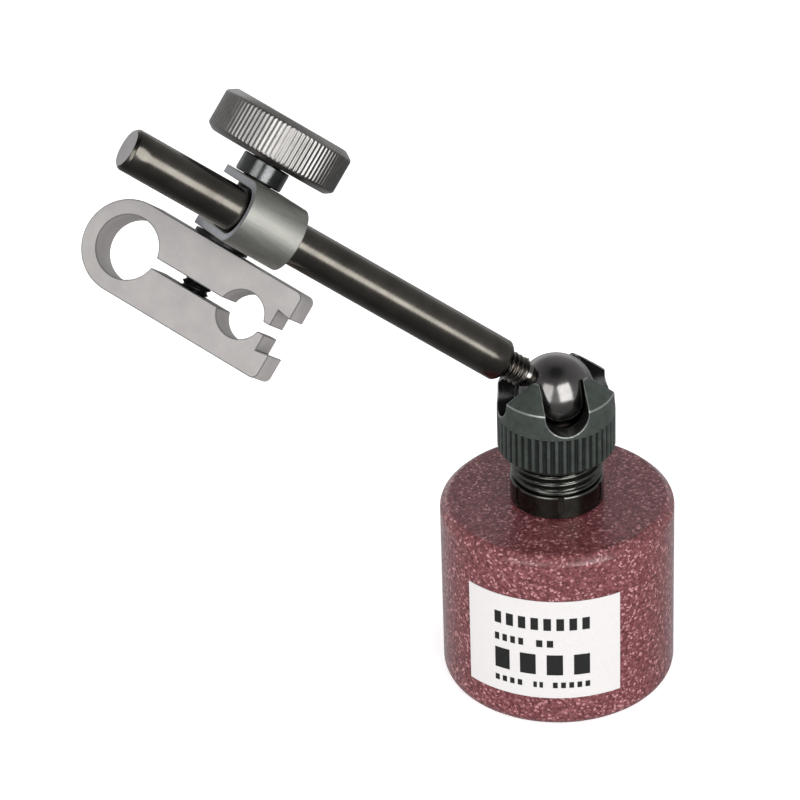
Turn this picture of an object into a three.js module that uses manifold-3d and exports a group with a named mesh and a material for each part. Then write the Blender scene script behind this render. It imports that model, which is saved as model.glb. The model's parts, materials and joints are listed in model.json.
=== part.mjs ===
// Small magnetic stand with a clamp holder for a dial indicator, in millimetres, +Z up.
// The origin is the centre of the magnet face. At rest the arm rises towards -X.
//
// Round magnetic base -> threaded neck -> knurled nut that clamps a ball -> rod -> sliding collar
// -> clamp screw, which carries the knob above the rod and the split holder below it.

import * as THREE from 'three';
import { mergeVertices } from 'three/addons/utils/BufferGeometryUtils.js';
import Module from 'manifold-3d';

const wasm = await Module();
wasm.setup();

// ---------------------------------------------------------------- driving dimensions

const CLEARANCE = 0.3; // radial gap that a thread or a fixed fit gets between two faceted pieces
const FACE_GAP = 0.12; // axial gap between two pieces that rest on each other

const base = { radius: 15, height: 26, topChamfer: 1, footRound: 2, wall: 3.5, roof: 6 };
const pole = { radius: 8, height: 8 };
const magnet = { radius: 9 };
const separator = { height: 3, recess: 0.1 };
const label = { halfAngle: 39.5, middle: -106.4, low: 4.9, high: 19.7, thickness: 0.1, lift: 0.04 };

const neck = { radius: 6, chamfer: 0.5, shoulder: 3.35, threadRadius: 5.9, height: 12.2 };
const stud = { radius: 3.8, length: 5 };
const seat = { radius: 4.2, low: 9.3, high: 12, cup: 5.2, pocket: 9 };

const ball = { radius: 5, height: 15.42 }; // the height is from the top of the base to the ball's centre
const stem = { radius: 1.9, end: 14 };

const nut = { radius: 7.5, low: 7.2, coneStart: 16.15, top: 18.85, chamfer: 0.5 };
const nutRim = { outer: 4.4, cavity: 5.25, bore: 6.3 };
const nutSlot = { halfWidth: 2.75, centre: 15.95, turn: 3.5 }; // turn is about Z, from the line of the arm

const arm = { elevation: 37.3, radius: 2.75, start: 8.4, end: 64.8, chamfer: 0.3 };
const tapped = { radius: stem.radius + CLEARANCE, depth: 6.5 };

const collar = { outer: 4.17, inner: 3.1, towardsBall: 4.5, towardsEnd: 3.3, back: 3.4 };
const screw = { along: 45.5, behind: 8.5, radius: 1.9, tip: -16.6, top: 11.9 };
const collarRoll = 20.8; // the knob leans back by this much from the vertical plane of the rod
const screwHole = screw.radius + CLEARANCE;

const knob = { radius: 8.88, low: 6.9, high: 12.9, chamfer: 1.05 };
const bush = { radius: 3.15 };
const washer = { radius: 3.65, thickness: 0.5 };

const holder = { width: 12, thickness: 6, swivel: 36.5, slot: 1.33, cornerRound: 0.9 };
const stemBore = { centre: 9.3, radius: 4.05 }; // takes an 8 mm indicator stem
const smallBore = { centre: -7.6, radius: 3.05 }; // takes a 6 mm stem
const dovetail = { face: -13.4, depth: 1.8, mouth: 2.5, floor: 2.8 };

// ---------------------------------------------------------------- shaping helpers

const radians = THREE.MathUtils.degToRad;

// Turns an outline of [radius, height] points about the Z axis. The outline runs upwards on its outer side.
function turned(points, segments) {
  const outline = points.map(([radius, height]) => new THREE.Vector2(radius, height));
  return new THREE.LatheGeometry(outline, segments).rotateX(Math.PI / 2);
}

// A ring or sleeve between two radii and two heights.
function sleeve(inner, outer, low, high, segments) {
  return turned([[inner, low], [outer, low], [outer, high], [inner, high], [inner, low]], segments);
}

// Points on a circular arc in the [radius, height] plane, from one angle to another, both included.
function arc(centreRadius, centreHeight, radius, from, to, steps) {
  const points = [];
  for (let i = 0; i <= steps; i++) {
    const angle = radians(from + ((to - from) * i) / steps);
    points.push([centreRadius + radius * Math.cos(angle), centreHeight + radius * Math.sin(angle)]);
  }
  return points;
}

function extruded(shape, depth, curveSegments) {
  const geometry = new THREE.ExtrudeGeometry(shape, { depth, bevelEnabled: false, curveSegments });
  return geometry.translate(0, 0, -depth / 2);
}

function toSolid(geometry) {
  const bare = geometry.clone();
  bare.deleteAttribute('normal');
  bare.deleteAttribute('uv');
  const merged = mergeVertices(bare, 1e-4);
  const vertProperties = new Float32Array(merged.attributes.position.array);
  const triVerts = new Uint32Array(merged.index.array);
  return new wasm.Manifold(new wasm.Mesh({ numProp: 3, vertProperties, triVerts }));
}

function toGeometry(solid) {
  const mesh = solid.getMesh();
  const geometry = new THREE.BufferGeometry();
  geometry.setAttribute('position', new THREE.BufferAttribute(mesh.vertProperties, mesh.numProp));
  geometry.setIndex(new THREE.BufferAttribute(mesh.triVerts, 1));
  return geometry;
}

function cutAway(geometry, cutters) {
  return toGeometry(cutters.reduce((solid, cutter) => solid.subtract(toSolid(cutter)), toSolid(geometry)));
}

// A plain round cutter along Z.
function drill(radius, low, high, segments) {
  return turned([[0, low], [radius, low], [radius, high], [0, high]], segments);
}

function finish(color, roughness, metalness) {
  return new THREE.MeshStandardMaterial({ color, roughness, metalness });
}

function part(name, geometry, material) {
  const mesh = new THREE.Mesh(geometry, material);
  mesh.name = name;
  return mesh;
}

// ---------------------------------------------------------------- magnetic base

// A steel pot, open below, with a hole for the neck's stud in its roof.
function baseCase() {
  const bore = base.radius - base.wall;
  const ceiling = base.height - base.roof;
  const studHole = stud.radius + CLEARANCE;
  const footRound = arc(base.radius - base.footRound, base.footRound, base.footRound, -90, 0, 4);
  const chamferLow = base.height - base.topChamfer;
  const topEdge = [[base.radius, chamferLow], [base.radius - base.topChamfer, base.height]];
  const roof = [[studHole, base.height], [studHole, ceiling], [bore, ceiling]];
  const outline = [[bore, 0], ...footRound, ...topEdge, ...roof, [bore, 0]];
  return part('base_case', turned(outline, 56), finish(0x6e3236, 0.6, 0.2));
}

function centrePole() {
  return part('centre_pole', drill(pole.radius, 0, pole.height, 48), finish(0x9a9c9e, 0.35, 1));
}

function permanentMagnet() {
  const ceiling = base.height - base.roof;
  const disc = drill(magnet.radius, pole.height + FACE_GAP, ceiling - FACE_GAP, 48);
  return part('magnet', disc, finish(0x55585a, 0.5, 0.8));
}

// The non-magnetic ring that keeps the centre pole apart from the pot's rim.
function separatorRing() {
  const outer = base.radius - base.wall - CLEARANCE;
  const ring = sleeve(pole.radius + CLEARANCE, outer, separator.recess, separator.height, 48);
  return part('separator_ring', ring, finish(0xb28a3c, 0.4, 1));
}

// A blank paper sticker that follows the round of the case.
function baseLabel() {
  const inner = base.radius + label.lift;
  const outer = inner + label.thickness;
  const from = radians(label.middle - label.halfAngle);
  const to = radians(label.middle + label.halfAngle);
  const section = new THREE.Shape();
  section.absarc(0, 0, outer, from, to, false);
  section.absarc(0, 0, inner, to, from, true);
  const height = label.high - label.low;
  const sheet = extruded(section, height, 20).translate(0, 0, label.low + height / 2);
  return part('base_label', sheet, finish(0xf1f0ec, 0.7, 0));
}

// ---------------------------------------------------------------- neck and ball clamp

// The neck's stud goes down into the base. Its thread carries the nut, and its top holds the ball seat.
function neckPost() {
  const foot = FACE_GAP;
  const shoulder = [[neck.radius, foot], [neck.radius, neck.shoulder - neck.chamfer]];
  const thread = [
    [neck.radius - neck.chamfer, neck.shoulder],
    [neck.threadRadius, neck.shoulder + neck.chamfer],
    [neck.threadRadius, neck.height - neck.chamfer],
    [neck.threadRadius - neck.chamfer, neck.height],
  ];
  const pocket = seat.radius + CLEARANCE / 2;
  const top = [[pocket, neck.height], [pocket, seat.pocket], [0, seat.pocket]];
  const bottom = [[0, -stud.length], [stud.radius, -stud.length], [stud.radius, foot]];
  const outline = [...bottom, ...shoulder, ...thread, ...top];
  return part('neck_post', turned(outline, 40), finish(0x1c1f1f, 0.35, 0.9));
}

// A bronze cup under the ball.
function ballSeat() {
  const lip = seat.high - ball.height;
  const lipAngle = THREE.MathUtils.radToDeg(Math.asin(lip / seat.cup));
  const cup = arc(0, ball.height, seat.cup, lipAngle, -90, 5);
  cup[cup.length - 1][0] = 0;
  const outline = [[0, seat.low], [seat.radius, seat.low], [seat.radius, seat.high], ...cup];
  return part('ball_seat', turned(outline, 32), finish(0xa9793a, 0.4, 1));
}

// One slot right across the nut's crown: a round floor with straight sides above it.
function slotCutter() {
  const reach = 2.4 * nut.radius;
  const outline = new THREE.Shape();
  outline.moveTo(nutSlot.halfWidth, nut.top + 1);
  outline.lineTo(-nutSlot.halfWidth, nut.top + 1);
  outline.lineTo(-nutSlot.halfWidth, nutSlot.centre);
  outline.absarc(0, nutSlot.centre, nutSlot.halfWidth, Math.PI, 2 * Math.PI, false);
  outline.closePath();
  return extruded(outline, reach, 10).rotateX(Math.PI / 2);
}

// The nut screws down the neck, and its crown holds the ball from above. Four slots let the stem through.
function clampNut() {
  const rimAngle = THREE.MathUtils.radToDeg(Math.asin((nut.top - ball.height) / nutRim.cavity));
  const cavity = arc(0, ball.height, nutRim.cavity, rimAngle, 0, 5);
  const outside = [
    [nutRim.bore, nut.low],
    [nut.radius - nut.chamfer, nut.low],
    [nut.radius, nut.low + nut.chamfer],
    [nut.radius, nut.coneStart],
    [nutRim.outer, nut.top],
  ];
  const threadEnd = neck.height + CLEARANCE;
  const inside = [...cavity, [nutRim.cavity, threadEnd], [nutRim.bore, threadEnd], [nutRim.bore, nut.low]];
  const turn = radians(nutSlot.turn);
  const slots = [slotCutter().rotateZ(turn), slotCutter().rotateZ(turn + Math.PI / 2)];
  const body = cutAway(turned([...outside, ...inside], 56), slots);
  return part('clamp_nut', body, finish(0x2c3634, 0.45, 0.6));
}

// ---------------------------------------------------------------- arm, built along local +X from the ball

const alongX = (geometry) => geometry.rotateY(Math.PI / 2);

function ballStud() {
  const neckAngle = THREE.MathUtils.radToDeg(Math.acos(stem.radius / ball.radius));
  const sphere = arc(0, 0, ball.radius, -90, neckAngle, 14);
  sphere[0][0] = 0;
  const outline = [...sphere, [stem.radius, stem.end], [0, stem.end]];
  return part('ball_stud', alongX(turned(outline, 28)), finish(0x2a2927, 0.22, 1));
}

function armRod() {
  const { radius, start, end, chamfer } = arm;
  const outside = [
    [tapped.radius, start],
    [radius - chamfer, start],
    [radius, start + chamfer],
    [radius, end - chamfer],
    [radius - chamfer, end],
    [0, end],
  ];
  const hole = [[0, start + tapped.depth], [tapped.radius, start + tapped.depth], [tapped.radius, start]];
  const outline = [...hole, ...outside];
  return part('arm_rod', alongX(turned(outline, 32)), finish(0x33302b, 0.25, 1));
}

// ---------------------------------------------------------------- collar head
// Local +X runs along the rod to its free end, and local +Z along the clamp screw to the knob.
// The screw passes behind the rod, at y = -screw.behind, and x is counted from the screw.

// A strip bent round the front of the rod, with two legs that the screw draws together.
function rodCollar() {
  const back = -screw.behind - collar.back;
  const section = new THREE.Shape();
  section.moveTo(back, -collar.outer);
  section.lineTo(0, -collar.outer);
  section.absarc(0, 0, collar.outer, -Math.PI / 2, Math.PI / 2, false);
  section.lineTo(back, collar.outer);
  section.lineTo(back, collar.inner);
  section.lineTo(0, collar.inner);
  section.absarc(0, 0, collar.inner, Math.PI / 2, -Math.PI / 2, true);
  section.lineTo(back, -collar.inner);
  section.closePath();
  const length = collar.towardsBall + collar.towardsEnd;
  const middle = (collar.towardsEnd - collar.towardsBall) / 2;
  const strip = extruded(section, length, 16);
  strip.rotateY(Math.PI / 2).rotateX(Math.PI / 2).translate(middle, 0, 0);
  const hole = drill(screwHole, -2 * collar.outer, 2 * collar.outer, 24).translate(0, -screw.behind, 0);
  return part('rod_collar', cutAway(strip, [hole]), finish(0x8d908c, 0.4, 1));
}

function clampScrew() {
  return part('clamp_screw', drill(screw.radius, screw.tip, screw.top, 24), finish(0x1b1b1c, 0.4, 0.9));
}

function clampKnob() {
  const { radius, low, high, chamfer } = knob;
  const socketTop = screw.top + CLEARANCE;
  const outline = [
    [0, socketTop],
    [screwHole, socketTop],
    [screwHole, low],
    [radius - chamfer, low],
    [radius, low + chamfer],
    [radius, high - chamfer],
    [radius - chamfer, high],
    [0, high],
  ];
  return part('clamp_knob', turned(outline, 48), finish(0x8f8f8c, 0.35, 1));
}

function spacerBush() {
  const ring = sleeve(screwHole, bush.radius, collar.outer + FACE_GAP, knob.low - FACE_GAP, 32);
  return part('spacer_bush', ring, finish(0x17191a, 0.3, 0.8));
}

function swivelWasher() {
  const top = -collar.outer - FACE_GAP;
  const ring = sleeve(screwHole, washer.radius, top - washer.thickness, top, 32);
  return part('swivel_washer', ring, finish(0x1a1b1c, 0.4, 0.8));
}

// ---------------------------------------------------------------- split holder
// Drawn in the plane of its face: local x along its length, local y across it.

// Where a slot edge meets a round bore, measured from the bore's centre.
const slotReach = (bore) => Math.sqrt(bore.radius ** 2 - (holder.slot / 2) ** 2);
const slotAngle = (bore) => Math.asin(holder.slot / 2 / bore.radius);

function holderOutline() {
  const half = holder.width / 2;
  const gap = holder.slot / 2;
  const { face, depth, mouth, floor } = dovetail;
  const corner = holder.cornerRound;
  const outline = new THREE.Shape();
  outline.moveTo(face, -mouth);
  outline.lineTo(face, -half + corner);
  outline.absarc(face + corner, -half + corner, corner, Math.PI, 1.5 * Math.PI, false);
  outline.lineTo(stemBore.centre, -half);
  outline.absarc(stemBore.centre, 0, half, -Math.PI / 2, Math.PI / 2, false);
  outline.lineTo(face + corner, half);
  outline.absarc(face + corner, half - corner, corner, Math.PI / 2, Math.PI, false);
  outline.lineTo(face, mouth);
  outline.lineTo(face + depth, floor);
  outline.lineTo(face + depth, gap);
  outline.lineTo(smallBore.centre - slotReach(smallBore), gap);
  const small = slotAngle(smallBore);
  outline.absarc(smallBore.centre, 0, smallBore.radius, Math.PI - small, small, true);
  outline.lineTo(stemBore.centre - slotReach(stemBore), gap);
  const large = slotAngle(stemBore);
  outline.absarc(stemBore.centre, 0, stemBore.radius, Math.PI - large, -Math.PI + large, true);
  outline.lineTo(smallBore.centre + slotReach(smallBore), -gap);
  outline.absarc(smallBore.centre, 0, smallBore.radius, -small, -Math.PI + small, true);
  outline.lineTo(face + depth, -gap);
  outline.lineTo(face + depth, -floor);
  outline.closePath();
  return outline;
}

function indicatorHolder() {
  const plate = extruded(holderOutline(), holder.thickness, 14).rotateX(Math.PI / 2);
  const hole = drill(screwHole, -holder.width, holder.width, 24);
  return part('indicator_holder', cutAway(plate, [hole]), finish(0xa09c97, 0.45, 1));
}

// ---------------------------------------------------------------- assembly

const group = new THREE.Group();
group.add(baseCase(), centrePole(), permanentMagnet(), separatorRing(), baseLabel());

const clampGroup = new THREE.Group();
clampGroup.position.z = base.height;
clampGroup.add(neckPost(), ballSeat(), clampNut());
group.add(clampGroup);

// The heading turns the arm towards -X, and the elevation lifts its free end.
const heading = new THREE.Group();
heading.position.z = base.height + ball.height;
heading.rotation.z = Math.PI;
group.add(heading);

const armGroup = new THREE.Group();
armGroup.rotation.y = -radians(arm.elevation);
armGroup.add(ballStud(), armRod());
heading.add(armGroup);

const headGroup = new THREE.Group();
headGroup.position.x = screw.along;
headGroup.rotation.x = radians(collarRoll);
headGroup.add(rodCollar());
armGroup.add(headGroup);

const screwGroup = new THREE.Group();
screwGroup.position.y = -screw.behind;
screwGroup.add(clampScrew(), clampKnob(), spacerBush(), swivelWasher());
headGroup.add(screwGroup);

const holderGroup = new THREE.Group();
holderGroup.position.z = -collar.outer - washer.thickness - 2 * FACE_GAP - holder.width / 2;
holderGroup.rotation.z = -radians(holder.swivel);
holderGroup.add(indicatorHolder());
screwGroup.add(holderGroup);

export default group;
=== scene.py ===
import json
import math

import bmesh
import bpy
import numpy as np
from mathutils import Matrix, Vector


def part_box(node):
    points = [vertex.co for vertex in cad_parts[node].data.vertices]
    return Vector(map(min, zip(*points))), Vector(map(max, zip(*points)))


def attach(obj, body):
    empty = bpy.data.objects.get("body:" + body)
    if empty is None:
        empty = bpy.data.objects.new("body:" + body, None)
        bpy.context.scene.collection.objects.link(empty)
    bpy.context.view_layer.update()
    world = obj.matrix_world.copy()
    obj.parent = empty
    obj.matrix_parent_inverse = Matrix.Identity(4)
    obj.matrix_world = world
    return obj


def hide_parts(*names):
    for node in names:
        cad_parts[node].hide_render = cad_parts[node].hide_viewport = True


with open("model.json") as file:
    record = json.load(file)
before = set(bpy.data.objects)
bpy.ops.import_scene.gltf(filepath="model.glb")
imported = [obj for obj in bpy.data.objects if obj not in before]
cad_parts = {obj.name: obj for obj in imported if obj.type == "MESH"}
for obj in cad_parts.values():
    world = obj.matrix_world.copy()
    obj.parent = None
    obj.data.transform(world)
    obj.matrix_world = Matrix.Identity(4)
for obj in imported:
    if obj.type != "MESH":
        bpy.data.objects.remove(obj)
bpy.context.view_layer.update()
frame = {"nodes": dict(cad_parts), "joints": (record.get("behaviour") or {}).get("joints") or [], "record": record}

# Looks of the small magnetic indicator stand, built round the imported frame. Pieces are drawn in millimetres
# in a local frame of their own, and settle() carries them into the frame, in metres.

MM = 0.001
TAU = 2 * math.pi
NEAR = 0.01  # CAD vertices this near to a face or a wall are taken as lying on it, in millimetres
# A finely turned piece stays this far inside its faceted CAD node, so that it keeps to the CAD box.
ROUND_INSET = 0.002
KNOB_INSET = 0.03


# ---------------------------------------------------------------- places, all read from the frame

joints = {joint["name"]: joint for joint in frame["joints"]}
mounts = {mount["name"]: mount for mount in frame["record"]["mounts"]}


def local_frame(origin, x_axis, z_axis):
    """A matrix from a local frame in millimetres to the row frame in metres."""
    z = Vector(z_axis).normalized()
    x = Vector(x_axis)
    x = (x - z * x.dot(z)).normalized()
    y = z.cross(x)
    turn = Matrix((x, y, z)).transposed().to_4x4()
    return Matrix.Translation(Vector(origin)) @ turn @ Matrix.Scale(MM, 4)


def local_points(node, place):
    """The vertices of a CAD node in a local frame, in millimetres."""
    vertices = frame["nodes"][node].data.vertices
    points = np.empty(len(vertices) * 3)
    vertices.foreach_get("co", points)
    inverse = np.array(place.inverted())
    return points.reshape(-1, 3) @ inverse[:3, :3].T + inverse[:3, 3]


def span(node, place, axis):
    """Lowest and highest coordinate of a CAD node along one local axis, in millimetres."""
    values = local_points(node, place)[:, axis]
    return float(values.min()), float(values.max())


def across_and_up(node, place):
    """Distance from the local Z axis and height along it, for each vertex of a CAD node, in millimetres."""
    points = local_points(node, place)
    return np.hypot(points[:, 0], points[:, 1]), points[:, 2]


def radius_about_z(node, place):
    """Largest distance of a CAD node from the local Z axis, in millimetres."""
    return float(across_and_up(node, place)[0].max())


ball_centre = Vector(joints["arm_tilt"]["pos_m"])
arm_axis = Vector(joints["arm_spin"]["axis"])
screw_axis = Vector(joints["holder_swivel"]["axis"])
screw_point = Vector(joints["holder_swivel"]["pos_m"])
holder_axis = -Vector(mounts["dovetail_end_face"]["axis"])

up = Vector((0, 0, 1))
base_place = local_frame((0, 0, 0), (1, 0, 0), up)
neck_place = local_frame((ball_centre.x, ball_centre.y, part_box("base_case")[1].z), (1, 0, 0), up)
# Pieces on the rod's axis are turned about local Z, so that axis points along the rod.
rod_place = local_frame(ball_centre, screw_axis, arm_axis)
screw_place = local_frame(screw_point, arm_axis, screw_axis)
holder_middle = screw_point + screw_axis * sum(span("indicator_holder", screw_place, 2)) / 2 * MM
holder_place = local_frame(holder_middle, holder_axis, screw_axis)


# ---------------------------------------------------------------- mesh helpers

def arc(centre_radius, centre_height, radius, start, end, steps):
    """Points on a circular arc in the [radius, height] plane, in degrees, both ends included."""
    angles = np.radians(np.linspace(start, end, steps + 1))
    return [(centre_radius + radius * math.cos(a), centre_height + radius * math.sin(a)) for a in angles]


def rounded(outline, radius, steps=3):
    """A closed or open [radius, height] outline with each of its corners rounded off.
    Nearly straight corners and points on the axis stay as they are."""
    nearly_straight, longest_share = math.radians(160), 0.4
    points = [Vector(point) for point in outline]
    closed = (points[0] - points[-1]).length < 1e-9
    if closed:
        points = points[:-1]
    result = []
    for i, here in enumerate(points):
        if not closed and i in (0, len(points) - 1):
            result.append(tuple(here))
            continue
        before = points[i - 1] - here
        after = points[(i + 1) % len(points)] - here
        if before.angle(after) > nearly_straight or here.x < 1e-6:
            result.append(tuple(here))
            continue
        reach = min(radius, before.length * longest_share, after.length * longest_share)
        first = here + before.normalized() * reach
        last = here + after.normalized() * reach
        for step in range(steps + 1):
            t = step / steps
            blend = first * (1 - t) ** 2 + here * 2 * t * (1 - t) + last * t ** 2
            result.append(tuple(blend))
    if closed:
        result.append(result[0])
    return result


def divided(outline, step, low, high):
    """The outline with its stretches between two heights cut into short steps, for threads and knurls."""
    result = [outline[0]]
    for (r0, h0), (r1, h1) in zip(outline, outline[1:]):
        inside = min(h0, h1) >= low - 1e-6 and max(h0, h1) <= high + 1e-6
        count = max(1, round(abs(h1 - h0) / step)) if inside else 1
        for i in range(1, count + 1):
            result.append((r0 + (r1 - r0) * i / count, h0 + (h1 - h0) * i / count))
    return result


def turned(outline, segments, relief=None):
    """A mesh turned about Z from [radius, height] points that run upwards on the outer side.
    relief(radii, heights, angles) may return changed radii, for a knurl or a thread."""
    closed = outline[0] == outline[-1]
    rows = np.array(outline[:-1] if closed else outline, float)
    angles = np.arange(segments) / segments * TAU
    radii = np.repeat(rows[:, :1], segments, axis=1)
    heights = np.repeat(rows[:, 1:], segments, axis=1)
    turns = np.repeat(angles[None, :], len(rows), axis=0)
    if relief:
        radii = relief(radii, heights, turns)
    grid = np.stack([radii * np.cos(turns), radii * np.sin(turns), heights], axis=2)
    mesh = bmesh.new()
    vertices = []
    for row, points in zip(rows, grid):
        if row[0] < 1e-6:
            vertices.append([mesh.verts.new((0, 0, row[1]))] * segments)
        else:
            vertices.append([mesh.verts.new(point) for point in points])
    pairs = list(zip(vertices, vertices[1:]))
    if closed:
        pairs.append((vertices[-1], vertices[0]))
    for lower, upper in pairs:
        for j in range(segments):
            k = (j + 1) % segments
            corners = []
            for vertex in (lower[j], lower[k], upper[k], upper[j]):
                if vertex not in corners:
                    corners.append(vertex)
            if len(corners) > 2:
                mesh.faces.new(corners)
    return mesh


def plate(points, low, high):
    """A flat plate from a closed outline of (x, y) points, between two heights."""
    mesh = bmesh.new()
    bottom = [mesh.verts.new((x, y, low)) for x, y in points]
    top = [mesh.verts.new((x, y, high)) for x, y in points]
    mesh.faces.new(reversed(bottom))
    mesh.faces.new(top)
    for i in range(len(points)):
        j = (i + 1) % len(points)
        mesh.faces.new((bottom[i], bottom[j], top[j], top[i]))
    return mesh


def arc_points(x, y, radius, start, end, step):
    """Points on a circular arc in a plane, every few degrees."""
    count = max(2, round(abs(end - start) / step))
    angles = np.radians(np.linspace(start, end, count + 1))
    return [(x + radius * math.cos(a), y + radius * math.sin(a)) for a in angles]


# Turns a plate's plane from XY to YZ, and its thickness from Z to X.
ALONG_X_FROM_Z = Matrix(((0, 0, 1, 0), (1, 0, 0, 0), (0, 1, 0, 0), (0, 0, 0, 1)))


def as_object(name, mesh, matrix=None):
    """A new object from a mesh drawn in a local frame."""
    if matrix is not None:
        mesh.transform(matrix)
    data = bpy.data.meshes.new(name)
    mesh.normal_update()
    mesh.to_mesh(data)
    mesh.free()
    piece = bpy.data.objects.new(name, data)
    bpy.context.scene.collection.objects.link(piece)
    return piece


def apply_modifiers(piece):
    """Makes what the modifiers show into the piece's own mesh."""
    bpy.context.view_layer.update()
    evaluated = piece.evaluated_get(bpy.context.evaluated_depsgraph_get())
    data = bpy.data.meshes.new_from_object(evaluated)
    piece.modifiers.clear()
    piece.data = data


def cut(piece, cutters, operation="DIFFERENCE"):
    """Cuts pieces away from a piece, or joins them to it, exactly."""
    for cutter in cutters:
        modifier = piece.modifiers.new("cut", "BOOLEAN")
        modifier.operation = operation
        modifier.solver = "EXACT"
        modifier.object = cutter
        apply_modifiers(piece)
        bpy.data.objects.remove(cutter)


WELD, SLIVER = 0.08, 0.05  # a cut may leave vertices this near to each other, and faces this thin


def soften(piece, width, angle, face_material=-1):
    """Rounds off the edges that are sharper than an angle, once the slivers left by cuts are welded.
    The new faces take a material of their own, by its index, or the one beside them."""
    mesh = bmesh.new()
    mesh.from_mesh(piece.data)
    bmesh.ops.remove_doubles(mesh, verts=mesh.verts, dist=WELD)
    bmesh.ops.dissolve_degenerate(mesh, edges=mesh.edges, dist=SLIVER)
    mesh.to_mesh(piece.data)
    mesh.free()
    modifier = piece.modifiers.new("edges", "BEVEL")
    modifier.use_clamp_overlap = False
    modifier.material = face_material
    modifier.width = width
    modifier.segments = 2
    modifier.limit_method = "ANGLE"
    modifier.angle_limit = math.radians(angle)
    apply_modifiers(piece)


def settle(piece, place, materials, body, node, sharp):
    """Puts a piece drawn in a local frame into the row frame, ties it to its body, hides the CAD node it stands
    for and gives it its materials.
    Edges that turn by more than the sharp angle stay sharp, and each face keeps its material's index."""
    faces = [min(polygon.material_index, len(materials) - 1) for polygon in piece.data.polygons]
    piece.data.transform(place)
    piece.data.materials.clear()
    for material in materials:
        piece.data.materials.append(material)
    piece.data.polygons.foreach_set("material_index", faces)
    piece.data.shade_smooth()
    piece.data.set_sharp_from_angle(angle=math.radians(sharp))
    # Large faces keep their own normals, so the shading of a rounded edge stays inside the edge.
    normals = piece.modifiers.new("normals", "WEIGHTED_NORMAL")
    normals.keep_sharp = True
    apply_modifiers(piece)
    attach(piece, body)
    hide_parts(node)
    return piece


# ---------------------------------------------------------------- materials

class NodeTree:
    """Short calls for the nodes of a material or a world. Texture scales are per metre."""

    def __init__(self, tree, coordinates):
        self.nodes = tree.nodes
        self.links = tree.links
        self.place = self.nodes.new("ShaderNodeTexCoord").outputs[coordinates]

    def node(self, kind, inputs=None, **settings):
        made = self.nodes.new("ShaderNode" + kind)
        for name, value in settings.items():
            setattr(made, name, value)
        for name, value in (inputs or {}).items():
            if isinstance(value, bpy.types.NodeSocket):
                self.links.new(value, made.inputs[name])
            else:
                made.inputs[name].default_value = value
        return made

    def noise(self, scale, detail=2.0, roughness=0.5, vector=None):
        vector = vector or self.place
        inputs = {"Vector": vector, "Scale": scale, "Detail": detail, "Roughness": roughness}
        return self.node("TexNoise", inputs).outputs["Fac"]

    def ramp(self, factor, *stops):
        made = self.node("ValToRGB", {"Fac": factor})
        elements = made.color_ramp.elements
        while len(elements) < len(stops):
            elements.new(0.5)
        for element, (position, color) in zip(elements, stops):
            element.position = position
            element.color = color if len(color) == 4 else (*color, 1)
        return made.outputs["Color"]

    def scale_range(self, value, low, high, from_low=0.0, from_high=1.0):
        """Carries a value from one range into another, and holds it there."""
        inputs = {"Value": value, "From Min": from_low, "From Max": from_high, "To Min": low, "To Max": high}
        return self.node("MapRange", inputs).outputs["Result"]

    def math(self, operation, first, second=0.0):
        made = self.node("Math", operation=operation)
        for socket, value in zip(made.inputs, (first, second)):
            if isinstance(value, bpy.types.NodeSocket):
                self.links.new(value, socket)
            else:
                socket.default_value = value
        return made.outputs["Value"]

    def within(self, value, middle, half):
        """1 where a value lies near a middle value, 0 elsewhere."""
        made = self.node("Math", operation="COMPARE")
        self.links.new(value, made.inputs[0])
        made.inputs[1].default_value = middle
        made.inputs[2].default_value = half
        return made.outputs["Value"]

    def stretched(self, place, squeeze):
        """Coordinates in a local frame, squeezed along its axes, for brushed and turned marks."""
        turn = place.inverted().to_quaternion().to_euler()
        turned_place = self.node("Mapping", {"Vector": self.place, "Rotation": turn}, vector_type="POINT")
        inputs = {"Vector": turned_place.outputs["Vector"], "Scale": squeeze}
        return self.node("Mapping", inputs, vector_type="POINT").outputs["Vector"]

    def mix(self, factor, first, second):
        made = self.node("Mix", {"Factor": factor}, data_type="RGBA")
        for socket, value in ((made.inputs[6], first), (made.inputs[7], second)):
            if isinstance(value, bpy.types.NodeSocket):
                self.links.new(value, socket)
            else:
                socket.default_value = (*value, 1)
        return made.outputs[2]

    def bump(self, height, distance, strength):
        inputs = {"Height": height, "Distance": distance, "Strength": strength}
        return self.node("Bump", inputs).outputs["Normal"]


class Shader(NodeTree):
    """A principled material. Its plain values are given by name, with _ for a space."""

    def __init__(self, name, **values):
        self.material = bpy.data.materials.new(name)
        self.material.use_nodes = True
        super().__init__(self.material.node_tree, "Object")
        self.principled = self.nodes["Principled BSDF"]
        for socket, value in values.items():
            self.principled.inputs[socket.replace("_", " ")].default_value = value

    def set(self, **sockets):
        """Links sockets of other nodes into the principled shader."""
        for name, value in sockets.items():
            self.links.new(value, self.principled.inputs[name.replace("_", " ")])
        return self


def tinted(color, factor):
    """A colour made darker or lighter."""
    return tuple(min(1, channel * factor) for channel in color)


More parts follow.
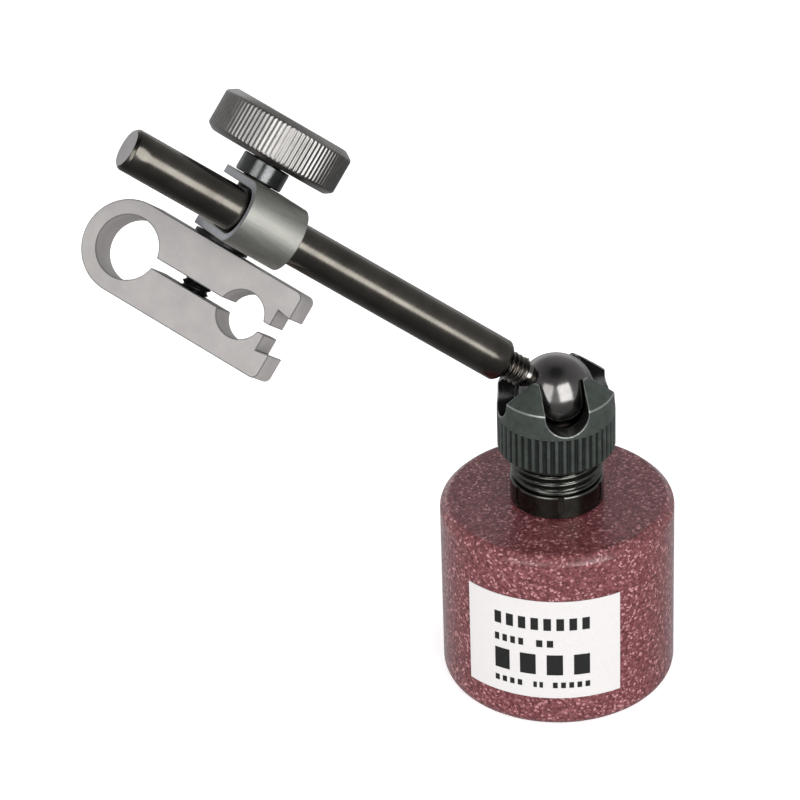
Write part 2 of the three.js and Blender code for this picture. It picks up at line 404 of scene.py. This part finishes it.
def hammertone():
    """Maroon paint with a fine wrinkled grain and small pink flakes, under a clear coat."""
    shader = Shader("hammertone_maroon", Metallic=0.1, Specular_IOR_Level=0.25, Coat_Weight=1.0,
                    Coat_Roughness=0.19)
    grain = shader.node("TexVoronoi", {"Vector": shader.place, "Scale": 2600.0}, feature="SMOOTH_F1")
    flakes = shader.node("TexVoronoi", {"Vector": shader.place, "Scale": 3600.0})
    shade = shader.node("SeparateColor", {"Color": flakes.outputs["Color"]})
    cloud = shader.noise(2100.0, 4.0, 0.65)
    dark, middle, light = (0.060, 0.013, 0.016), (0.145, 0.037, 0.042), (0.275, 0.095, 0.102)
    pink = (0.45, 0.215, 0.225)
    paint = shader.ramp(cloud, (0.3, dark), (0.5, middle), (0.7, light))
    bright = shader.ramp(shade.outputs["Red"], (0.82, (0, 0, 0)), (0.97, (1, 1, 1)))
    color = shader.mix(bright, paint, pink)
    height = shader.math("ADD", grain.outputs["Distance"], shader.math("MULTIPLY", cloud, 1.2))
    rough = shader.scale_range(shade.outputs["Green"], 0.4, 0.6)
    return shader.set(Base_Color=color, Roughness=rough, Normal=shader.bump(height, 0.0002, 0.65)).material


def black_oxide(name, color, roughness, metallic):
    """Chemically blackened steel: fine mottling and a soft, uneven gloss."""
    shader = Shader(name, Metallic=metallic)
    mottle = shader.noise(900.0, 4.0, 0.6)
    light = tuple(channel * 1.18 + 0.001 for channel in color)
    shade = shader.ramp(mottle, (0.35, tinted(color, 0.85)), (0.65, light))
    rough = shader.scale_range(shader.noise(2600.0, 3.0), roughness - 0.07, roughness + 0.09)
    grain = shader.noise(9000.0, 2.0)
    return shader.set(Base_Color=shade, Roughness=rough, Normal=shader.bump(grain, 0.00003, 0.35)).material


def gunmetal(name, place, color, roughness):
    """Polished and blackened steel with faint marks that run round the bar."""
    shader = Shader(name, Metallic=1.0)
    rings = shader.noise(3000.0, 3.0, 0.6, shader.stretched(place, (0.06, 0.06, 1.0)))
    cloud = shader.noise(260.0, 3.0)
    shade = shader.ramp(cloud, (0.3, tinted(color, 0.8)), (0.7, tinted(color, 1.25)))
    rough = shader.scale_range(rings, roughness - 0.06, roughness + 0.07)
    return shader.set(Base_Color=shade, Roughness=rough, Normal=shader.bump(rings, 0.00002, 0.25)).material


def brushed_steel(name, place, squeeze, color, roughness):
    """Bare steel with fine marks in one direction, and slightly uneven colour."""
    shader = Shader(name, Metallic=1.0)
    marks = shader.noise(5200.0, 4.0, 0.65, shader.stretched(place, squeeze))
    cloud = shader.noise(420.0, 3.0)
    tone = shader.math("ADD", shader.math("MULTIPLY", marks, 0.6), shader.math("MULTIPLY", cloud, 0.4))
    shade = shader.ramp(tone, (0.3, tinted(color, 0.82)), (0.7, tinted(color, 1.15)))
    rough = shader.scale_range(marks, roughness - 0.08, roughness + 0.1)
    return shader.set(Base_Color=shade, Roughness=rough, Normal=shader.bump(marks, 0.00004, 0.4)).material


def blasted_steel(name, color, roughness, metallic=0.9):
    """Matt steel with a fine even grain."""
    shader = Shader(name, Metallic=metallic)
    grain = shader.noise(7000.0, 4.0, 0.7)
    cloud = shader.noise(350.0, 4.0)
    tone = shader.math("ADD", shader.math("MULTIPLY", grain, 0.45), shader.math("MULTIPLY", cloud, 0.55))
    shade = shader.ramp(tone, (0.32, tinted(color, 0.85)), (0.68, tinted(color, 1.12)))
    rough = shader.scale_range(cloud, roughness - 0.05, roughness + 0.08)
    return shader.set(Base_Color=shade, Roughness=rough, Normal=shader.bump(grain, 0.00005, 0.5)).material


def label_paper():
    """White paper with rows of plain black blocks in place of print. The label carries its own UV map."""
    shader = Shader("label_paper", Roughness=0.6, Specular_IOR_Level=0.3)
    place = shader.node("SeparateXYZ", {"Vector": shader.node("UVMap").outputs["UV"]})
    # Each row: middle, half height, then left end, right end and number of blocks for each word.
    rows = (
        (0.765, 0.062, (0.20, 0.80, 8)),
        (0.565, 0.036, (0.20, 0.39, 4), (0.47, 0.575, 2)),
        (0.345, 0.105, (0.20, 0.80, 4)),
        (0.135, 0.030, (0.20, 0.38, 4), (0.45, 0.51, 2), (0.57, 0.80, 5)),
    )
    filled = 0.6  # the part of each pitch that a block fills
    ink = None
    for middle, half, *words in rows:
        along = shader.within(place.outputs["Y"], middle, half)
        for left, right, blocks in words:
            across = shader.within(place.outputs["X"], (left + right) / 2, (right - left) / 2)
            pitch = (right - left) / (blocks - 1 + filled)
            steps = shader.math("DIVIDE", shader.math("SUBTRACT", place.outputs["X"], left), pitch)
            bar = shader.within(shader.math("FRACT", steps), filled / 2, filled / 2)
            block = shader.math("MULTIPLY", shader.math("MULTIPLY", across, along), bar)
            ink = block if ink is None else shader.math("MAXIMUM", ink, block)
    fibre = shader.noise(4000.0, 4.0, 0.7)
    paper_color = shader.ramp(fibre, (0.3, (0.515, 0.498, 0.493)), (0.7, (0.56, 0.542, 0.537)))
    color = shader.mix(ink, paper_color, (0.012, 0.012, 0.012))
    return shader.set(Base_Color=color, Normal=shader.bump(fibre, 0.00002, 0.3)).material


# Brushed marks are drawn out along the axis whose squeeze is small.
ALONG_X, ALONG_Z, NO_GRAIN = (0.05, 1.0, 1.0), (1.0, 1.0, 0.08), (1.0, 1.0, 1.0)

hammertone_paint = hammertone()
nut_black = black_oxide("nut_black_oxide", (0.059, 0.071, 0.063), 0.42, 0.5)
# Near-black for the nut's cavity and slot walls: painted shade inside the nut, which is the same steel as outside.
nut_inside_shade = black_oxide("nut_painted_inside_shade", (0.010, 0.011, 0.010), 0.25, 0.5)
# Light grey for the rounded slot and rim edges: partly worn bare steel, partly a painted highlight along the
# edges.
nut_edge_wear_and_highlight = black_oxide("nut_worn_and_lit_edge", (0.33, 0.35, 0.33), 0.3, 0.8)
# Darker black for the knurl's grooves: painted shade in the grooves.
nut_groove_shade = black_oxide("nut_painted_groove_shade", (0.018, 0.022, 0.020), 0.45, 0.5)
neck_black = black_oxide("neck_black_oxide", (0.15, 0.152, 0.138), 0.18, 1.0)
# A darker copy of the post's black oxide for its shoulder and stud: painted shade.
band_shade = black_oxide("neck_band_painted_shade", (0.055, 0.06, 0.052), 0.2, 1.0)
screw_black = black_oxide("screw_black_oxide", (0.03, 0.03, 0.03), 0.3, 0.9)
bush_black = black_oxide("bush_black_oxide", (0.13, 0.134, 0.134), 0.08, 1.0)
rod_metal = gunmetal("rod_gunmetal", rod_place, (0.136, 0.126, 0.110), 0.185)
ball_metal = gunmetal("ball_gunmetal", rod_place, (0.245, 0.235, 0.228), 0.165)
rod_face = blasted_steel("rod_end_face", (0.56, 0.54, 0.54), 0.4)
collar_steel = brushed_steel("collar_satin_steel", screw_place, ALONG_X, (0.42, 0.42, 0.387), 0.52)
collar_face = blasted_steel("collar_end_face", (0.285, 0.295, 0.315), 0.5, 0.4)
knob_steel = brushed_steel("knob_steel", screw_place, ALONG_Z, (0.335, 0.325, 0.313), 0.28)
holder_steel = blasted_steel("holder_matt_steel", (0.355, 0.336, 0.328), 0.5, 0.3)
holder_edge = blasted_steel("holder_shaded_edge", (0.13, 0.13, 0.13), 0.5, 0.3)
ground_steel = brushed_steel("pole_ground_steel", base_place, ALONG_X, (0.5, 0.5, 0.51), 0.3)
paper = label_paper()


# ---------------------------------------------------------------- magnetic base

def make_base():
    """A turned pot, open below, with a rounded foot and a chamfered top."""
    low, high = span("base_case", base_place, 2)
    across, heights = across_and_up("base_case", base_place)
    radius = float(across.max()) - ROUND_INSET
    bore = float(across[heights < low + NEAR].min())
    stud_hole = float(across.min())
    ceiling = float(heights[np.abs(across - bore) < NEAR].max())
    foot_round, bore_chamfer, top_chamfer, edge = 2.0, 0.3, 1.0, 0.35
    outline = [(bore, low + bore_chamfer), (bore + bore_chamfer, low)]
    outline += arc(radius - foot_round, low + foot_round, foot_round, -90, 0, 10)
    top = [outline[-1], (radius, high - top_chamfer), (radius - top_chamfer, high), (stud_hole, high)]
    outline += rounded(top, edge, 6)[1:]
    outline += [(stud_hole, ceiling), (bore, ceiling), (bore, low + bore_chamfer)]
    case = as_object("base_case_visual", turned(outline, 160))
    settle(case, base_place, [hammertone_paint], "base", "base_case", 50)


def make_label():
    """The sticker's sheet, following the case."""
    points = local_points("base_label", base_place)
    angles = np.degrees(np.arctan2(points[:, 1], points[:, 0]))
    across = np.hypot(points[:, 0], points[:, 1])
    start, end = float(angles.min()), float(angles.max())
    low, high = span("base_label", base_place, 2)
    lift = 0.02
    inner, outer = float(across.min()) + lift, float(across.max()) - ROUND_INSET
    columns, rows = 48, 6
    mesh = bmesh.new()
    uv = mesh.loops.layers.uv.new("label")
    sheets = []
    for radius in (outer, inner):
        sheet = []
        for row in range(rows + 1):
            height = low + (high - low) * row / rows
            turns = np.radians(np.linspace(start, end, columns + 1))
            points = [(radius * math.cos(turn), radius * math.sin(turn), height) for turn in turns]
            sheet.append([mesh.verts.new(point) for point in points])
        sheets.append(sheet)
    front, back = sheets
    for row in range(rows):
        for column in range(columns):
            corners = ((row, column), (row, column + 1), (row + 1, column + 1), (row + 1, column))
            face = mesh.faces.new([front[r][c] for r, c in corners])
            for loop, (r, c) in zip(face.loops, corners):
                loop[uv].uv = (c / columns, r / rows)
            mesh.faces.new([back[r][c] for r, c in reversed(corners)])
    rim = [(0, c) for c in range(columns)] + [(r, columns) for r in range(rows)]
    rim += [(rows, c) for c in range(columns, 0, -1)] + [(r, 0) for r in range(rows, 0, -1)]
    for (r0, c0), (r1, c1) in zip(rim, rim[1:] + rim[:1]):
        mesh.faces.new((front[r0][c0], back[r0][c0], back[r1][c1], front[r1][c1]))
    sticker = as_object("base_label_visual", mesh)
    settle(sticker, base_place, [paper], "base", "base_label", 50)


# ---------------------------------------------------------------- threads and knurls

def thread(pitch, depth, low, high, start=0.0):
    """Relief of a rounded thread between two heights. The crest keeps the outline's radius."""
    def relief(radii, heights, angles):
        phase = (heights / pitch - angles / TAU + start) % 1.0
        groove = 0.5 + 0.5 * np.cos(TAU * phase)
        run_out = 0.3 * pitch
        begun = np.clip((heights - low) / run_out, 0, 1)
        unended = np.clip((high - heights) / run_out, 0, 1)
        outer = radii > radii.max() - 1.2 * depth
        return np.where(outer, radii - depth * groove ** 0.8 * begun * unended, radii)
    return relief


def knurl(teeth, depth, radius, land, low, high, run_out):
    """Relief of a straight knurl: grooves cut in from a radius, with a share of each pitch left as a land.
    The grooves run out over a short height at both ends."""
    def relief(radii, heights, angles):
        phase = np.abs((angles / TAU * teeth) % 1.0 - 0.5) * 2
        groove = np.clip((phase - land) / (1 - land), 0, 1)
        groove = np.sqrt(1 - (1 - groove) ** 2)
        ends = np.clip(np.minimum(heights - low, high - heights) / run_out, 0, 1)
        ends = np.sqrt(1 - (1 - ends) ** 2)
        return np.minimum(radii, radius - depth * groove * ends)
    return relief


def ribs(teeth, depth, radius):
    """Relief of shallow rounded ribs that run the whole height."""
    def relief(radii, heights, angles):
        wave = 0.5 - 0.5 * np.cos(angles * teeth)
        return np.minimum(radii, radius - depth * wave)
    return relief


def spanner_notch(radius, top, angle):
    """A cutter for one shallow round-ended notch in the neck's shoulder."""
    half, foot, depth, spare = 0.42, 1.3, 0.12, 0.5
    points = [*arc_points(0, foot, half, 180, 360, 15), (half, top + spare), (-half, top + spare)]
    stand = Matrix.Rotation(math.radians(angle), 4, "Z") @ ALONG_X_FROM_Z
    return as_object("notch", plate(points, radius - depth, radius + 1), stand)


def make_neck():
    """A plain shoulder with spanner notches, a fine thread above it, and a stud below."""
    low, high = span("neck_post", neck_place, 2)
    across, heights = across_and_up("neck_post", neck_place)
    radius = float(across.max())
    stud = float(across[heights < low + NEAR].max())
    pocket = float(across[heights > high - NEAR].min())
    foot = float(heights[across > radius - NEAR].min())
    floor = float(heights[np.abs(across - pocket) < NEAR].min())
    shoulder, chamfer, foot_chamfer, top_chamfer = 3.35, 0.3, 0.15, 0.6
    depth, pitch, phase = 0.6, 1.0, 0.9
    major = radius - 0.1
    start = shoulder + 0.2
    outline = [(0, low), (stud, low), (stud, foot)]
    outline += [(radius - foot_chamfer, foot), (radius, foot + foot_chamfer)]
    outline += arc(radius - chamfer, shoulder - chamfer, chamfer, 0, 90, 6)
    outline += [(major - depth, shoulder + 0.02), (major - depth, start)]
    outline += [(major - 0.2, start + 0.1), (major, start + 0.25)]
    outline += [(major, high - top_chamfer), (major - top_chamfer, high)]
    outline += [(pocket, high), (pocket, floor), (0, floor)]
    outline = divided(outline, pitch / 16, start - 0.01, high - 0.5)
    post = as_object("neck_post_visual", turned(outline, 112, thread(pitch, depth, start, high, phase)))
    cut(post, [spanner_notch(radius, shoulder, angle) for angle in range(-93, 267, 60)])
    # The shoulder and the stud below the thread get the darker copy, painted shade.
    for polygon in post.data.polygons:
        if polygon.center.z < shoulder - chamfer:
            polygon.material_index = 1
    settle(post, neck_place, [neck_black, band_shade], "base", "neck_post", 40)


def make_nut():
    """A knurled band below, and a crown above it with a cone, a round cavity and four slots."""
    low, high = span("clamp_nut", neck_place, 2)
    across, heights = across_and_up("clamp_nut", neck_place)
    radius = float(across.max())
    bore = float(across[heights < low + NEAR].min())
    mouth = float(across[heights > high - NEAR].min())
    crown_rim = float(across[heights > high - NEAR].max())
    cone_start = float(heights[np.abs(across - radius) < 0.02].max())
    centre = (ball_centre.z - neck_place.translation.z) / MM
    cavity = math.hypot(mouth, high - centre)
    finish = (nut_black, nut_inside_shade, nut_edge_wear_and_highlight, nut_groove_shade)
    inner_face, worn_and_lit_edge, groove = 1, 2, 3
    thread_end, knurl_top, run_out = 12.5, 12.9, 0.5
    teeth, depth, land = 46, 0.36, 0.42
    chamfer, corner = 0.65, 0.1

    band_top = knurl_top + 0.02
    band = [(bore, low), (radius - corner - chamfer, low), (radius - corner, low + chamfer)]
    band += [(radius, low + chamfer + corner), (radius, knurl_top - run_out - 0.1), (radius, band_top)]
    band += [(bore, band_top), (bore, low)]
    band = divided(band, 0.1, low, low + chamfer + corner + 0.01)
    band = divided(band, 0.07, knurl_top - run_out - 0.11, band_top + 0.01)
    relief = knurl(teeth, depth, radius, land, low - 1, knurl_top - 0.05, run_out)
    body = as_object("clamp_nut_visual", turned(band, teeth * 12, relief))
    # Faces deep in the knurl's grooves get the darker painted shade.
    for polygon in body.data.polygons:
        if polygon.center.xy.length < radius - 0.14:
            polygon.material_index = groove

    mouth_angle = math.degrees(math.asin((high - centre) / cavity))
    crown_low, crown_radius, inner = knurl_top - 0.2, radius - 0.01, bore - 0.4
    crown = [(inner, crown_low), (crown_radius, crown_low), (crown_radius, cone_start)]
    crown += [(crown_rim, high), *arc(0, centre, cavity, mouth_angle, 0, 14)]
    crown += [(cavity, thread_end), (inner, thread_end), (inner, crown_low)]
    top = as_object("crown", turned(crown, 144))
    # Faces that look inwards, into the cavity, get the near-black painted shade.
    for polygon in top.data.polygons:
        if polygon.normal.xy.dot(polygon.center.xy) < 0:
            polygon.material_index = inner_face

    half_width, floor_centre, slot_turn, spare = 2.75, 15.95, math.radians(3.5), 2
    section = arc_points(0, floor_centre, half_width, 180, 360, 6)
    section += [(half_width, high + spare), (-half_width, high + spare)]
    along_y = Matrix.Rotation(math.pi / 2, 4, "X")
    cutters = []
    for turn in (slot_turn, slot_turn + math.pi / 2):
        matrix = Matrix.Rotation(turn, 4, "Z") @ along_y
        cutter = as_object("slot", plate(section, -2 * radius, 2 * radius), matrix)
        # The slot walls get the same near-black painted shade.
        cutter.data.polygons.foreach_set("material_index", [inner_face] * len(cutter.data.polygons))
        cutters.append(cutter)
    for piece in (body, top, *cutters):
        for material in finish:
            piece.data.materials.append(material)
    cut(top, cutters)
    # The rounded edges get the light grey, partly wear and partly painted highlight.
    soften(top, 0.15, 32, worn_and_lit_edge)
    cut(body, [top], "UNION")
    settle(body, neck_place, finish, "nut", "clamp_nut", 32)


# ---------------------------------------------------------------- ball stud and rod

def make_ball_stud():
    """The ball and its threaded stem, turned in one piece."""
    across, heights = across_and_up("ball_stud", rod_place)
    radius = float(across.max())
    end = float(heights.max())
    stem = float(across[heights > end - NEAR].max())
    pitch, depth, chamfer = 0.7, 0.36, 0.3
    root = math.degrees(math.acos((stem - 0.25) / radius))
    outline = [*arc(0, 0, radius, -90, root, 60), (stem - chamfer, radius + 0.25), (stem, radius + 0.55)]
    outline[0] = (0, -radius)
    outline += [(stem, end - chamfer), (stem - chamfer, end), (0, end)]
    outline = divided(outline, pitch / 14, radius + 0.2, end - chamfer)

    def relief(radii, heights, angles):
        cut_radii = thread(pitch, depth, radius + 0.4, end)(np.minimum(radii, stem), heights, angles)
        return np.where(heights > radius + 0.2, np.minimum(radii, cut_radii), radii)

    piece = as_object("ball_stud_visual", turned(outline, 72, relief))
    for polygon in piece.data.polygons:
        if polygon.center.z > radius:
            polygon.material_index = 1
    settle(piece, rod_place, [ball_metal, rod_metal], "ball", "ball_stud", 40)


def make_rod():
    """A round bar with rounded ends and the tapped hole in its lower end."""
    low, high = span("arm_rod", rod_place, 2)
    across, heights = across_and_up("arm_rod", rod_place)
    radius = float(across.max())
    hole = float(across[heights < low + NEAR].min())
    floor = float(heights[across < NEAR].min())
    outline = [(0, floor), (hole, floor), (hole, low + 0.25), (hole + 0.2, low)]
    outline += [(radius - 0.4, low), (radius - 0.08, low + 0.32), (radius, low + 0.5)]
    outline += [(radius, high - 0.5), (radius - 0.08, high - 0.32), (radius - 0.35, high), (0, high)]
    outline = divided(outline, 2.0, low, high)
    piece = as_object("arm_rod_visual", turned(outline, 128))
    for polygon in piece.data.polygons:
        if polygon.center.z > high - NEAR:
            polygon.material_index = 1
        # The lower end and its chamfer, where the rod meets the stem, get the black screw finish: a painted shade
        # ring.
        elif polygon.center.z < low + 0.33:
            polygon.material_index = 2
    settle(piece, rod_place, [rod_metal, rod_face, screw_black], "rod", "arm_rod", 30)


# ---------------------------------------------------------------- collar head

def drilled(piece, radius, reach):
    """Cuts a round hole along the piece's local Z axis."""
    drill = [(0, -reach), (radius, -reach), (radius, reach), (0, reach)]
    cut(piece, [as_object("hole", turned(drill, 48))])


def make_collar():
    """A strip bent round the rod, with two legs that the clamp screw goes through."""
    left, right = span("rod_collar", screw_place, 0)
    back, front = span("rod_collar", screw_place, 1)
    low, high = span("rod_collar", screw_place, 2)
    outer, inner = (high - low) / 2, 3.1
    rod_y = front - outer
    section = [(back, -outer), *arc_points(rod_y, 0, outer, -90, 90, 3), (back, outer), (back, inner)]
    section += [*arc_points(rod_y, 0, inner, 90, -90, 3), (back, -inner)]
    strip = as_object("rod_collar_visual", plate(section, left, right), ALONG_X_FROM_Z)
    drilled(strip, radius_about_z("clamp_screw", screw_place) + 0.25, 2 * high)
    soften(strip, 0.14, 40)
    for polygon in strip.data.polygons:
        if abs(polygon.normal.x) > 0.99:
            polygon.material_index = 1
    settle(strip, screw_place, [collar_steel, collar_face], "collar", "rod_collar", 35)


def make_screw():
    """A plain shank above and a thread below, where it goes through the holder."""
    low, high = span("clamp_screw", screw_place, 2)
    radius = radius_about_z("clamp_screw", screw_place)
    pitch, depth, thread_top = 0.7, 0.34, -3.2
    point, chamfer = 0.45, 0.3
    outline = [(0, low), (radius - point, low), (radius, low + point), (radius, thread_top)]
    outline += [(radius, high - chamfer), (radius - chamfer, high), (0, high)]
    outline = divided(outline, pitch / 12, low + 0.4, thread_top + 0.01)
    piece = as_object("clamp_screw_visual", turned(outline, 56, thread(pitch, depth, low - 1, thread_top)))
    settle(piece, screw_place, [screw_black], "screw", "clamp_screw", 40)


def make_knob():
    """A ribbed rim, a shallow dish with a centre mark in the top, and a blind hole for the screw."""
    low, high = span("clamp_knob", screw_place, 2)
    across, heights = across_and_up("clamp_knob", screw_place)
    radius = float(across.max()) - KNOB_INSET
    hole = float(across[heights < low + NEAR].min())
    floor = float(heights[(across < NEAR) & (heights < high - 0.1)].max())
    teeth, rib, edge = 92, 0.1, 0.3
    dish, dish_radius, mark = 0.35, radius - 2.4, 0.35
    # How far each chamfer reaches across the face, and along the rim.
    low_across, low_along, high_across, high_along = 0.95, 0.65, 1.2, 0.8
    rim = [(hole, low), (radius - low_across, low), (radius, low + low_along)]
    rim += [(radius, high - high_along), (radius - high_across, high), (dish_radius, high)]
    outline = [(0, floor), (hole, floor), *rounded(rim, edge, 5)]
    outline += [(dish_radius - 0.3, high - dish), (1.1, high - dish)]
    outline += [(0.5, high - dish - mark), (0, high - dish - mark)]
    piece = as_object("clamp_knob_visual", turned(outline, teeth * 8, ribs(teeth, rib, radius)))
    settle(piece, screw_place, [knob_steel], "knob", "clamp_knob", 30)


def make_ring(name, node, material, edge):
    """A plain turned bush or washer with broken edges."""
    across, heights = across_and_up(node, screw_place)
    low, high = float(heights.min()), float(heights.max())
    bore, radius = float(across.min()), float(across.max())
    outline = rounded([(bore, low), (radius, low), (radius, high), (bore, high), (bore, low)], edge)
    piece = as_object(name, turned(outline, 80))
    settle(piece, screw_place, [material], "collar", node, 30)


def make_holder():
    """The split clamp, drawn in the plane of its face: x along it, y across it."""
    left, right = span("indicator_holder", holder_place, 0)
    thick = span("indicator_holder", holder_place, 1)[1]
    low, high = span("indicator_holder", holder_place, 2)
    half = (high - low) / 2
    gap, corner = 0.665, 0.9
    large, large_x = 4.05, right - half
    small, small_x = 3.05, left + 5.8
    depth, mouth, floor = 1.8, 2.5, 2.8
    large_angle = math.degrees(math.asin(gap / large))
    small_angle = math.degrees(math.asin(gap / small))
    upper = arc_points(large_x, 0, half, 0, 90, 3)
    upper += arc_points(left + corner, half - corner, corner, 90, 180, 9)
    upper += [(left, mouth), (left + depth, floor), (left + depth, gap)]
    upper += arc_points(small_x, 0, small, 180 - small_angle, small_angle, 4)
    upper += arc_points(large_x, 0, large, 180 - large_angle, 0, 4)
    lower = [(x, -y) for x, y in reversed(upper[1:-1])]
    to_face = Matrix.Rotation(math.pi / 2, 4, "X")
    body = as_object("indicator_holder_visual", plate(upper + lower, -thick, thick), to_face)
    drilled(body, radius_about_z("clamp_screw", screw_place) + 0.2, 2 * half)
    finish, shaded_edge = [holder_steel, holder_edge], 1
    for material in finish:
        body.data.materials.append(material)
    soften(body, 0.13, 40, shaded_edge)
    settle(body, holder_place, finish, "holder", "indicator_holder", 30)


def dress_hidden_nodes():
    """Gives a finish to the CAD nodes that keep their own mesh."""
    brass = brushed_steel("turned_brass", base_place, NO_GRAIN, (0.62, 0.44, 0.18), 0.32)
    bronze = brushed_steel("turned_bronze", base_place, NO_GRAIN, (0.5, 0.33, 0.15), 0.35)
    alloy = blasted_steel("magnet_alloy", (0.12, 0.12, 0.125), 0.5)
    finishes = {"separator_ring": brass, "ball_seat": bronze, "magnet": alloy, "centre_pole": ground_steel}
    for node, material in finishes.items():
        frame["nodes"][node].data.materials.clear()
        frame["nodes"][node].data.materials.append(material)


make_base()
make_label()
make_neck()
make_nut()
make_ball_stud()
make_rod()
make_collar()
make_screw()
make_knob()
make_ring("spacer_bush_visual", "spacer_bush", bush_black, 0.25)
make_ring("swivel_washer_visual", "swivel_washer", screw_black, 0.08)
make_holder()
dress_hidden_nodes()


# ---------------------------------------------------------------- floor, light and camera

def make_floor():
    """A pale plane that the camera sees. Shiny pieces mirror the studio beneath it instead."""
    shader = Shader("floor_pale", Roughness=0.9, Specular_IOR_Level=0.2,
                    Emission_Color=(1, 1, 1, 1), Emission_Strength=0.5)
    soft = shader.noise(9.0, 2.0)
    shader.set(Base_Color=shader.ramp(soft, (0.3, (0.93, 0.93, 0.93)), (0.7, (0.95, 0.95, 0.95))))
    mesh = bmesh.new()
    bmesh.ops.create_grid(mesh, x_segments=4, y_segments=4, size=8.0)
    floor = as_object("floor", mesh)
    floor.data.materials.append(shader.material)
    floor.visible_glossy = False


# Where a direction's height, from 0 straight down to 1 straight up, has which level.
STUDIO_LEVELS = (
    (0.06, 0.10), (0.24, 0.16), (0.44, 0.23), (0.54, 0.55),
    (0.7, 0.42), (0.87, 0.25), (0.95, 0.16), (0.99, 0.045),
)
BLUE_SHIFT = 1.02
SIDE_LEVEL = 0.65
REAR_LEVEL, REAR_START, REAR_FULL = 2.4, 0.4, 1.3


def make_world():
    """A dim studio: brighter towards the horizon, darker at both sides, brightest low behind the object."""
    world = bpy.data.worlds.new("studio")
    world.use_nodes = True
    tree = NodeTree(world.node_tree, "Generated")
    split = tree.node("SeparateXYZ", {"Vector": tree.place}).outputs
    height = tree.scale_range(split["Z"], 0, 1, -1, 1)
    stops = [(position, (level, level, level * BLUE_SHIFT)) for position, level in STUDIO_LEVELS]
    sides = tree.scale_range(tree.math("MULTIPLY", split["X"], split["X"]), 1, SIDE_LEVEL)
    backward = tree.math("SUBTRACT", split["Y"], split["Z"])
    rear = tree.scale_range(backward, 1, REAR_LEVEL, REAR_START, REAR_FULL)
    background = tree.nodes["Background"].inputs
    tree.links.new(tree.ramp(height, *stops), background["Color"])
    tree.links.new(tree.math("MULTIPLY", sides, rear), background["Strength"])
    bpy.context.scene.world = world


# The camera, as fitted to the outlines of the real stand: where it looks, from how far and from where.
AIM = Vector((-18.935, 8.496, 36.865)) * MM
DISTANCE = 520 * MM
AZIMUTH, ELEVATION, ROLL = -5.366, 31.613, -1.94
LENS, SENSOR = 183.06, 36.0


def direction(azimuth, elevation):
    """A unit vector towards a viewer. Azimuth 0 stands at -Y, and +90 at +X."""
    azimuth, elevation = math.radians(azimuth), math.radians(elevation)
    level = math.cos(elevation)
    return Vector((math.sin(azimuth) * level, -math.cos(azimuth) * level, math.sin(elevation)))


# Each soft panel: name, azimuth, elevation, distance in metres, width and height in degrees as seen from
# the object, radiance, and whether shiny pieces mirror it. A panel that isn't mirrored only fills in shade.
SOFTBOXES = (
    ("front_left", -36.5, 25, 1.2, 32, 48, 1.9, True),
    ("front_right", 23, 25, 1.2, 38, 48, 3.45, True),
    ("front_fill", -8, 10, 1.4, 70, 40, 1.1, False),
    ("side_left", -105, 8, 1.2, 60, 40, 3.4, False),
    ("side_right", 100, 8, 1.2, 60, 40, 2.9, False),
)


def make_softbox(name, azimuth, elevation, distance, width, height, radiance, mirrored):
    """A soft panel that faces the object."""
    data = bpy.data.lights.new(name, "AREA")
    data.shape = "RECTANGLE"
    data.size = 2 * distance * math.tan(math.radians(width / 2))
    data.size_y = 2 * distance * math.tan(math.radians(height / 2))
    data.energy = radiance * math.pi * data.size * data.size_y
    lamp = bpy.data.objects.new(name, data)
    lamp.location = AIM + direction(azimuth, elevation) * distance
    lamp.rotation_euler = (AIM - lamp.location).to_track_quat("-Z", "Y").to_euler()
    lamp.visible_camera = False
    lamp.visible_glossy = mirrored
    bpy.context.scene.collection.objects.link(lamp)


def make_camera():
    data = bpy.data.cameras.new("camera")
    data.lens = LENS
    data.sensor_width = SENSOR
    data.clip_end = 20
    camera = bpy.data.objects.new("camera", data)
    back = direction(AZIMUTH, ELEVATION)
    look = (-back).to_track_quat("-Z", "Y").to_matrix().to_4x4()
    roll = Matrix.Rotation(math.radians(ROLL), 4, "Z")
    camera.matrix_world = Matrix.Translation(AIM + back * DISTANCE) @ look @ roll
    bpy.context.scene.collection.objects.link(camera)
    bpy.context.scene.camera = camera


make_floor()
make_world()
for softbox in SOFTBOXES:
    make_softbox(*softbox)
make_camera()
bpy.context.scene.view_settings.view_transform = "Standard"
